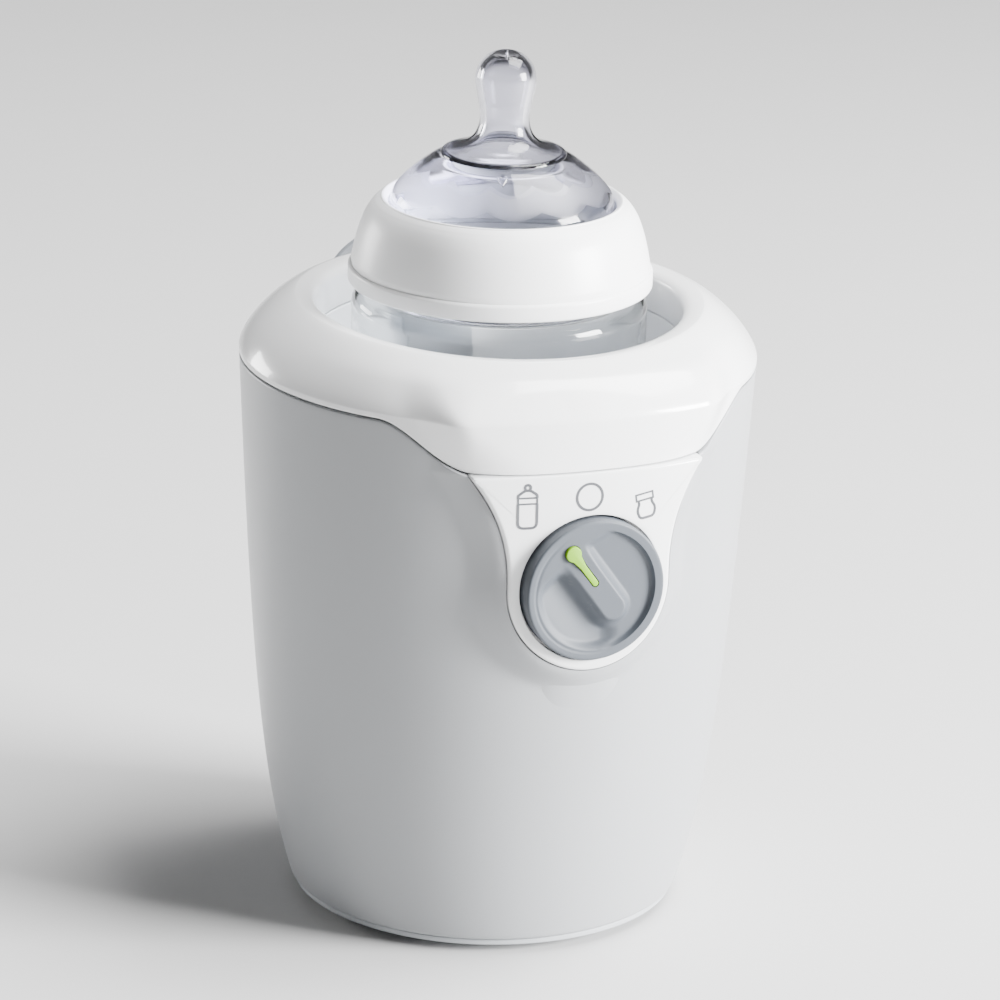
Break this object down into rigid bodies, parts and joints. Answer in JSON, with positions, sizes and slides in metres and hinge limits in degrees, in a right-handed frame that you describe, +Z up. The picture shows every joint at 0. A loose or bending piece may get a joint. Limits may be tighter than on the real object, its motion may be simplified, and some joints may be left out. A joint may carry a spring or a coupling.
{
  "type": "bottle warmer",
  "caption": "Countertop baby bottle warmer: flared round housing, water well with a lift basket, turning knob on a front panel, and a wide-neck feeding bottle standing in the well.",
  "frame": {"origin": "centre of the base plate's flat underside; the rubber feet reach 2 mm below it", "axes": "+Z up along the well's axis, -Y towards the front with the control panel, +X to the right seen from the front"},
  "size_m": [0.122, 0.1263, 0.207],
  "materials": {
    "housing": "pearl satin moulded plastic",
    "cover": "glossy white moulded plastic",
    "panel": "glossy white moulded plastic with printed marks",
    "knob": "bluish grey satin plastic",
    "pointer": "lime green plastic inlay",
    "basket": "translucent grey plastic",
    "bottle": "clear polypropylene",
    "silicone": "clear soft silicone",
    "collar": "satin white plastic",
    "well": "light grey heat-resistant plastic",
    "base": "light grey plastic",
    "rubber": "soft black rubber",
    "seal": "red silicone rubber",
    "steel": "zinc-plated steel",
    "aluminium": "cast aluminium",
    "ceramic": "PTC heater block in a ceramic-filled case",
    "black_plastic": "black moulded plastic",
    "white_insert": "off-white insulating plastic",
    "wire_brown": "brown wire insulation",
    "wire_blue": "blue wire insulation",
    "wire_green": "green and yellow wire insulation"
  },
  "bodies": {
    "warmer": {"base_plate": "base", "base_screw_1": "steel", "base_screw_2": "steel", "base_screw_3": "steel", "base_screw_4": "steel", "clamp_screw_1": "steel", "clamp_screw_2": "steel", "control_panel": "panel", "cord_clamp": "black_plastic", "cord_clamp_screw_1": "steel", "cord_clamp_screw_2": "steel", "cord_gland": "white_insert", "cover_screw_1": "steel", "cover_screw_2": "steel", "cover_screw_3": "steel", "earth_wire": "wire_green", "foot_1": "rubber", "foot_2": "rubber", "foot_3": "rubber", "foot_4": "rubber", "fuse_sleeve": "white_insert", "fuse_wire": "wire_brown", "heater_clamp": "steel", "heater_wire_1": "white_insert", "heater_wire_2": "white_insert", "heating_plate": "aluminium", "knob_seal": "rubber", "outer_housing": "housing", "plate_screw_1": "steel", "plate_screw_2": "steel", "plate_screw_3": "steel", "ptc_heater": "ceramic", "rotary_switch": "black_plastic", "switch_nut": "steel", "switch_wire_1": "wire_brown", "switch_wire_2": "wire_blue", "tank_gasket": "seal", "terminal_block": "white_insert", "thermal_fuse": "steel", "thermostat": "black_plastic", "thermostat_clip": "steel", "top_cover": "cover", "water_tank": "well"},
    "knob": {"knob": "knob", "knob_pointer": "pointer", "switch_spindle": "white_insert"},
    "basket": {"lift_basket": "basket"},
    "bottle": {"bottle_body": "bottle"},
    "teat": {"teat": "silicone"},
    "collar": {"collar": "collar"}
  },
  "joints": [
    {"name": "knob_turn", "type": "hinge", "parent": "warmer", "child": "knob", "pos_m": [0, -0.062, 0.094], "axis": [0, 1, 0], "range_deg": [0, 75]},
    {"name": "basket_lift", "type": "slide", "parent": "warmer", "child": "basket", "axis": [0, 0, 1], "range_m": [0, 0.13]},
    {"name": "bottle_lift", "type": "slide", "parent": "basket", "child": "bottle", "axis": [0, 0, 1], "range_m": [0, 0.13]},
    {"name": "teat_rise", "type": "slide", "parent": "bottle", "child": "teat", "axis": [0, 0, 1], "range_m": [0, 0.0075]},
    {"name": "collar_turn", "type": "hinge", "parent": "teat", "child": "collar", "pos_m": [0, 0, 0.16], "axis": [0, 0, 1], "range_deg": [0, 540]}
  ],
  "couplings": [
    {"joint": "collar_turn", "follows": "teat_rise", "rad_per_m": 1256.6}
  ]
}
